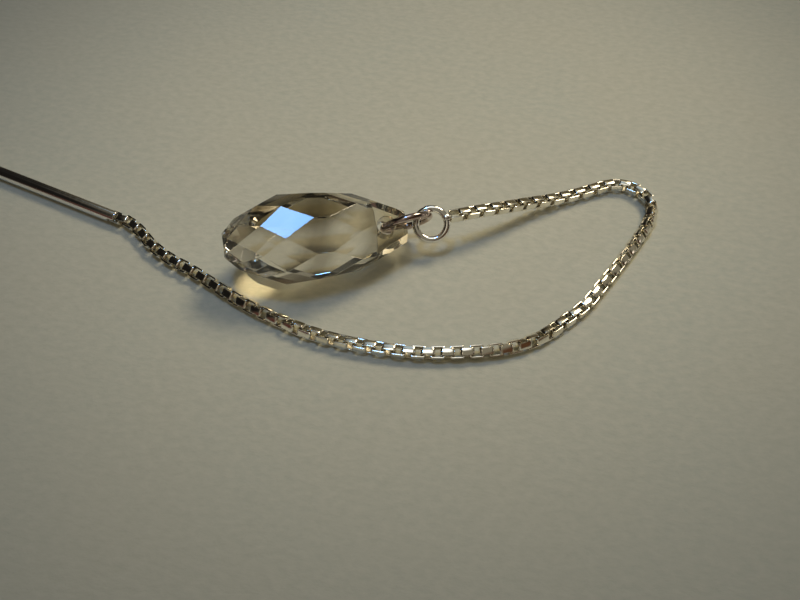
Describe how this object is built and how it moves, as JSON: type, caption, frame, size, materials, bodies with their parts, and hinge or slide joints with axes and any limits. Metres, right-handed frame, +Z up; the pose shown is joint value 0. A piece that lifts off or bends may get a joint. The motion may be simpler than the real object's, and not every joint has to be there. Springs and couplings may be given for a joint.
{
  "type": "threader earring",
  "caption": "Ear threader lying in a loose loop: a round wire post, a jointed box chain, small joining rings and a faceted crystal drop.",
  "frame": {"origin": "on the table top, under the middle of the threader's bounding box", "axes": "+X to the right along the table, +Y away from the viewer, +Z up from the table"},
  "size_m": [0.0524, 0.0206, 0.0053],
  "materials": {
    "polished_silver": "polished silver",
    "crystal_glass": "clear with a slight champagne tint, cut and polished"
  },
  "bodies": {
    "post": {"post": "polished_silver", "chain_pair_01": "polished_silver"},
    "chain_02": {"chain_pair_02": "polished_silver"},
    "chain_03": {"chain_pair_03": "polished_silver"},
    "chain_04": {"chain_pair_04": "polished_silver"},
    "chain_05": {"chain_pair_05": "polished_silver"},
    "chain_06": {"chain_pair_06": "polished_silver"},
    "chain_07": {"chain_pair_07": "polished_silver"},
    "chain_08": {"chain_pair_08": "polished_silver"},
    "chain_09": {"chain_pair_09": "polished_silver"},
    "chain_10": {"chain_pair_10": "polished_silver"},
    "chain_11": {"chain_pair_11": "polished_silver"},
    "chain_12": {"chain_pair_12": "polished_silver"},
    "chain_13": {"chain_pair_13": "polished_silver"},
    "chain_14": {"chain_pair_14": "polished_silver"},
    "chain_15": {"chain_pair_15": "polished_silver"},
    "chain_16": {"chain_pair_16": "polished_silver"},
    "chain_17": {"chain_pair_17": "polished_silver"},
    "chain_18": {"chain_pair_18": "polished_silver"},
    "chain_19": {"chain_pair_19": "polished_silver"},
    "chain_20": {"chain_pair_20": "polished_silver"},
    "chain_21": {"chain_pair_21": "polished_silver"},
    "chain_22": {"chain_pair_22": "polished_silver"},
    "chain_23": {"chain_pair_23": "polished_silver"},
    "chain_24": {"chain_pair_24": "polished_silver"},
    "chain_25": {"chain_pair_25": "polished_silver"},
    "chain_26": {"chain_pair_26": "polished_silver"},
    "chain_27": {"chain_pair_27": "polished_silver"},
    "chain_28": {"chain_pair_28": "polished_silver"},
    "chain_29": {"chain_pair_29": "polished_silver"},
    "chain_30": {"chain_pair_30": "polished_silver"},
    "chain_31": {"chain_pair_31": "polished_silver"},
    "chain_32": {"chain_pair_32": "polished_silver"},
    "chain_33": {"chain_pair_33": "polished_silver"},
    "chain_34": {"chain_pair_34": "polished_silver"},
    "chain_35": {"chain_pair_35": "polished_silver"},
    "chain_36": {"chain_pair_36": "polished_silver"},
    "chain_37": {"chain_pair_37": "polished_silver"},
    "chain_38": {"chain_pair_38": "polished_silver"},
    "chain_39": {"chain_pair_39": "polished_silver"},
    "chain_40": {"chain_pair_40": "polished_silver"},
    "chain_41": {"chain_pair_41": "polished_silver"},
    "chain_42": {"chain_pair_42": "polished_silver"},
    "chain_43": {"chain_pair_43": "polished_silver"},
    "chain_44": {"chain_pair_44": "polished_silver"},
    "chain_45": {"chain_pair_45": "polished_silver"},
    "chain_46": {"chain_pair_46": "polished_silver"},
    "chain_47": {"chain_pair_47": "polished_silver"},
    "chain_48": {"chain_pair_48": "polished_silver"},
    "chain_49": {"chain_pair_49": "polished_silver"},
    "chain_50": {"chain_pair_50": "polished_silver"},
    "chain_51": {"chain_pair_51": "polished_silver"},
    "chain_52": {"chain_pair_52": "polished_silver"},
    "chain_53": {"chain_pair_53": "polished_silver"},
    "chain_end": {"chain_pair_54": "polished_silver", "end_ring": "polished_silver"},
    "jump_ring": {"jump_ring": "polished_silver"},
    "crystal": {"crystal_drop": "crystal_glass"}
  },
  "joints": [
    {"name": "link_joint_02", "type": "hinge", "parent": "post", "child": "chain_02", "pos_m": [-0.00755, 0.00067, 0.00042], "axis": [-0.5693, -0.7476, -0.342], "range_deg": [-13, 2]},
    {"name": "link_joint_04", "type": "hinge", "parent": "chain_02", "child": "chain_03", "pos_m": [-0.00673, -0.00004, 0.00042], "axis": [0.2561, 0.2267, -0.9397], "range_deg": [-23, 13]},
    {"name": "link_joint_06", "type": "hinge", "parent": "chain_03", "child": "chain_04", "pos_m": [-0.00604, -0.00088, 0.00042], "axis": [0.7526, 0.5627, 0.342], "range_deg": [-18, 18]},
    {"name": "link_joint_08", "type": "hinge", "parent": "chain_04", "child": "chain_05", "pos_m": [-0.00535, -0.00173, 0.00042], "axis": [-0.2304, -0.2528, 0.9397], "range_deg": [-23, 13]},
    {"name": "link_joint_10", "type": "hinge", "parent": "chain_05", "child": "chain_06", "pos_m": [-0.00453, -0.00244, 0.00042], "axis": [-0.5518, -0.7303, -0.4027], "range_deg": [-17, 19]},
    {"name": "link_joint_12", "type": "hinge", "parent": "chain_06", "child": "chain_07", "pos_m": [-0.00364, -0.00307, 0.00042], "axis": [0.243, 0.3927, -0.887], "range_deg": [-17, 19]},
    {"name": "link_joint_14", "type": "hinge", "parent": "chain_07", "child": "chain_08", "pos_m": [-0.00272, -0.00366, 0.00042], "axis": [0.5003, 0.6932, 0.5188], "range_deg": [-17, 19]},
    {"name": "link_joint_16", "type": "hinge", "parent": "chain_08", "child": "chain_09", "pos_m": [-0.00185, -0.0043, 0.00042], "axis": [-0.3478, -0.4561, 0.8192], "range_deg": [-18, 19]},
    {"name": "link_joint_18", "type": "hinge", "parent": "chain_09", "child": "chain_10", "pos_m": [-0.00098, -0.00497, 0.00042], "axis": [-0.4834, -0.612, -0.6259], "range_deg": [-18, 18]},
    {"name": "link_joint_20", "type": "hinge", "parent": "chain_10", "child": "chain_11", "pos_m": [-0.00012, -0.00564, 0.00042], "axis": [0.3953, 0.5479, -0.7373], "range_deg": [-17, 19]},
    {"name": "link_joint_22", "type": "hinge", "parent": "chain_11", "child": "chain_12", "pos_m": [0.00077, -0.00627, 0.00042], "axis": [0.3784, 0.5788, 0.7224], "range_deg": [-19, 17]},
    {"name": "link_joint_24", "type": "hinge", "parent": "chain_12", "child": "chain_13", "pos_m": [0.00169, -0.00685, 0.00042], "axis": [-0.375, -0.668, 0.6428], "range_deg": [-19, 17]},
    {"name": "link_joint_26", "type": "hinge", "parent": "chain_13", "child": "chain_14", "pos_m": [0.00264, -0.00738, 0.00042], "axis": [-0.2557, -0.4585, -0.8511], "range_deg": [-18, 18]},
    {"name": "link_joint_28", "type": "hinge", "parent": "chain_14", "child": "chain_15", "pos_m": [0.0036, -0.00791, 0.00042], "axis": [0.4194, 0.8168, -0.3961], "range_deg": [-12, 18]},
    {"name": "link_joint_30", "type": "hinge", "parent": "chain_15", "child": "chain_16", "pos_m": [0.00458, -0.00838, 0.00042], "axis": [0.0945, 0.2409, 0.9659], "range_deg": [-20, 16]},
    {"name": "link_joint_32", "type": "hinge", "parent": "chain_16", "child": "chain_17", "pos_m": [0.0056, -0.00876, 0.00042], "axis": [-0.2998, -0.9381, 0.1736], "range_deg": [-18, 12]},
    {"name": "link_joint_34", "type": "hinge", "parent": "chain_17", "child": "chain_18", "pos_m": [0.00664, -0.00907, 0.00042], "axis": [-0.0217, -0.0844, -0.9962], "range_deg": [-12, 20]},
    {"name": "link_joint_36", "type": "hinge", "parent": "chain_18", "child": "chain_19", "pos_m": [0.0077, -0.00933, 0.00042], "axis": [0.2108, 0.9775, 0], "range_deg": [-18, 18]},
    {"name": "link_joint_38", "type": "hinge", "parent": "chain_19", "child": "chain_20", "pos_m": [0.00877, -0.00955, 0.00042], "axis": [-0.0151, -0.0858, 0.9962], "range_deg": [-19, 8]},
    {"name": "link_joint_40", "type": "hinge", "parent": "chain_20", "child": "chain_21", "pos_m": [0.00985, -0.00973, 0.00042], "axis": [-0.1007, -0.9797, -0.1736], "range_deg": [-17, 18]},
    {"name": "link_joint_42", "type": "hinge", "parent": "chain_21", "child": "chain_22", "pos_m": [0.01093, -0.00982, 0.00042], "axis": [0.0086, 0.2587, -0.9659], "range_deg": [-4, 20]},
    {"name": "link_joint_44", "type": "hinge", "parent": "chain_22", "child": "chain_23", "pos_m": [0.01202, -0.00984, 0.00042], "axis": [-0.0187, 0.9292, 0.3692], "range_deg": [-19, 17]},
    {"name": "link_joint_46", "type": "hinge", "parent": "chain_23", "child": "chain_24", "pos_m": [0.01311, -0.0098, 0.00042], "axis": [0.0367, -0.4732, 0.8802], "range_deg": [-20, 2]},
    {"name": "link_joint_48", "type": "hinge", "parent": "chain_24", "child": "chain_25", "pos_m": [0.0142, -0.0097, 0.00042], "axis": [0.0984, -0.8132, -0.5736], "range_deg": [-17, 19]},
    {"name": "link_joint_50", "type": "hinge", "parent": "chain_25", "child": "chain_26", "pos_m": [0.01528, -0.00955, 0.00042], "axis": [-0.1627, 0.6976, -0.6978], "range_deg": [-2, 20]},
    {"name": "link_joint_52", "type": "hinge", "parent": "chain_26", "child": "chain_27", "pos_m": [0.01633, -0.00927, 0.00042], "axis": [-0.1898, 0.5183, 0.8339], "range_deg": [-21, 14]},
    {"name": "link_joint_54", "type": "hinge", "parent": "chain_27", "child": "chain_28", "pos_m": [0.01734, -0.00886, 0.00042], "axis": [0.458, -0.8004, 0.3867], "range_deg": [-19, 2]},
    {"name": "link_joint_56", "type": "hinge", "parent": "chain_28", "child": "chain_29", "pos_m": [0.01825, -0.00827, 0.00042], "axis": [0.1325, -0.1602, -0.9781], "range_deg": [-6, 21]},
    {"name": "link_joint_58", "type": "hinge", "parent": "chain_29", "child": "chain_30", "pos_m": [0.01909, -0.00757, 0.00042], "axis": [-0.6346, 0.7711, -0.0523], "range_deg": [-6, 18]},
    {"name": "link_joint_60", "type": "hinge", "parent": "chain_30", "child": "chain_31", "pos_m": [0.01992, -0.00687, 0.00042], "axis": [0.0722, -0.0756, 0.9945], "range_deg": [-21, 2]},
    {"name": "link_joint_62", "type": "hinge", "parent": "chain_31", "child": "chain_32", "pos_m": [0.02067, -0.00608, 0.00042], "axis": [0.7778, -0.5727, -0.2588], "range_deg": [-16, 18]},
    {"name": "link_joint_64", "type": "hinge", "parent": "chain_32", "child": "chain_33", "pos_m": [0.02131, -0.0052, 0.00042], "axis": [-0.2853, 0.2091, -0.9354], "range_deg": [-2, 17]},
    {"name": "link_joint_66", "type": "hinge", "parent": "chain_33", "child": "chain_34", "pos_m": [0.02196, -0.00432, 0.00042], "axis": [-0.7221, 0.5297, 0.4451], "range_deg": [-18, 18]},
    {"name": "link_joint_68", "type": "hinge", "parent": "chain_34", "child": "chain_35", "pos_m": [0.0226, -0.00344, 0.00042], "axis": [0.4308, -0.3122, 0.8467], "range_deg": [-18, 2]},
    {"name": "link_joint_70", "type": "hinge", "parent": "chain_35", "child": "chain_36", "pos_m": [0.02324, -0.00255, 0.00042], "axis": [0.6422, -0.4593, -0.6137], "range_deg": [-18, 18]},
    {"name": "link_joint_72", "type": "hinge", "parent": "chain_36", "child": "chain_37", "pos_m": [0.02387, -0.00167, 0.00042], "axis": [-0.5684, 0.3898, -0.7245], "range_deg": [-2, 18]},
    {"name": "link_joint_74", "type": "hinge", "parent": "chain_37", "child": "chain_38", "pos_m": [0.02448, -0.00077, 0.00042], "axis": [-0.5408, 0.3647, 0.758], "range_deg": [-18, 18]},
    {"name": "link_joint_76", "type": "hinge", "parent": "chain_38", "child": "chain_39", "pos_m": [0.02508, 0.00015, 0.00042], "axis": [0.7163, -0.3973, 0.5736], "range_deg": [-19, 2]},
    {"name": "link_joint_78", "type": "hinge", "parent": "chain_39", "child": "chain_40", "pos_m": [0.02558, 0.00111, 0.00042], "axis": [0.4461, -0.1464, -0.8829], "range_deg": [-11, 24]},
    {"name": "link_joint_80", "type": "hinge", "parent": "chain_40", "child": "chain_41", "pos_m": [0.02579, 0.00218, 0.00042], "axis": [-0.917, -0.1749, -0.3584], "range_deg": [-4, 14]},
    {"name": "link_joint_82", "type": "hinge", "parent": "chain_41", "child": "chain_42", "pos_m": [0.02545, 0.0032, 0.00042], "axis": [-0.1838, -0.1573, 0.9703], "range_deg": [-29, 3]},
    {"name": "link_joint_84", "type": "hinge", "parent": "chain_42", "child": "chain_43", "pos_m": [0.02464, 0.00392, 0.00042], "axis": [0.2792, 0.9525, 0.1219], "range_deg": [-7, 3]},
    {"name": "link_joint_86", "type": "hinge", "parent": "chain_43", "child": "chain_44", "pos_m": [0.02358, 0.00408, 0.00042], "axis": [0, 0, -1], "range_deg": [-4, 29]},
    {"name": "link_joint_88", "type": "hinge", "parent": "chain_44", "child": "chain_45", "pos_m": [0.02254, 0.00376, 0.00042], "axis": [0.3797, -0.9251, 0], "range_deg": [-18, 18]},
    {"name": "link_joint_90", "type": "hinge", "parent": "chain_45", "child": "chain_46", "pos_m": [0.02153, 0.00334, 0.00042], "axis": [0.0258, 0.0109, 0.9996], "range_deg": [-19, 6]},
    {"name": "link_joint_92", "type": "hinge", "parent": "chain_46", "child": "chain_47", "pos_m": [0.02053, 0.00291, 0.00048], "axis": [-0.4073, 0.9133, 0], "range_deg": [-21, 16]},
    {"name": "link_joint_94", "type": "hinge", "parent": "chain_47", "child": "chain_48", "pos_m": [0.01955, 0.00247, 0.00064], "axis": [-0.1781, -0.0826, -0.9805], "range_deg": [-6, 18]},
    {"name": "link_joint_96", "type": "hinge", "parent": "chain_48", "child": "chain_49", "pos_m": [0.01858, 0.00202, 0.00087], "axis": [0.4424, -0.8968, 0], "range_deg": [-17, 19]},
    {"name": "link_joint_98", "type": "hinge", "parent": "chain_49", "child": "chain_50", "pos_m": [0.01764, 0.00154, 0.00114], "axis": [0.2277, 0.1276, 0.9653], "range_deg": [-20, 8]},
    {"name": "link_joint_100", "type": "hinge", "parent": "chain_50", "child": "chain_51", "pos_m": [0.01672, 0.00102, 0.00142], "axis": [-0.4834, 0.8754, 0], "range_deg": [-18, 18]},
    {"name": "link_joint_102", "type": "hinge", "parent": "chain_51", "child": "chain_52", "pos_m": [0.01579, 0.00053, 0.00169], "axis": [-0.2015, -0.0935, -0.975], "range_deg": [-10, 16]},
    {"name": "link_joint_104", "type": "hinge", "parent": "chain_52", "child": "chain_53", "pos_m": [0.01482, 0.00009, 0.00192], "axis": [0.3874, -0.9219, 0], "range_deg": [-20, 16]},
    {"name": "link_joint_106", "type": "hinge", "parent": "chain_53", "child": "chain_end", "pos_m": [0.01382, -0.00032, 0.00208], "axis": [0.0753, 0.0264, 0.9968], "range_deg": [-15, 10]},
    {"name": "jump_ring_swing", "type": "hinge", "parent": "chain_end", "child": "jump_ring", "pos_m": [0.01131, -0.00038, 0.00249], "axis": [-0.9623, -0.2052, -0.1784], "range_deg": [-40, 46]},
    {"name": "drop_swing", "type": "hinge", "parent": "jump_ring", "child": "crystal", "pos_m": [0.00874, -0.00176, 0.00215], "axis": [0.1748, -0.4494, 0.8761], "range_deg": [-88, 9]}
  ]
}
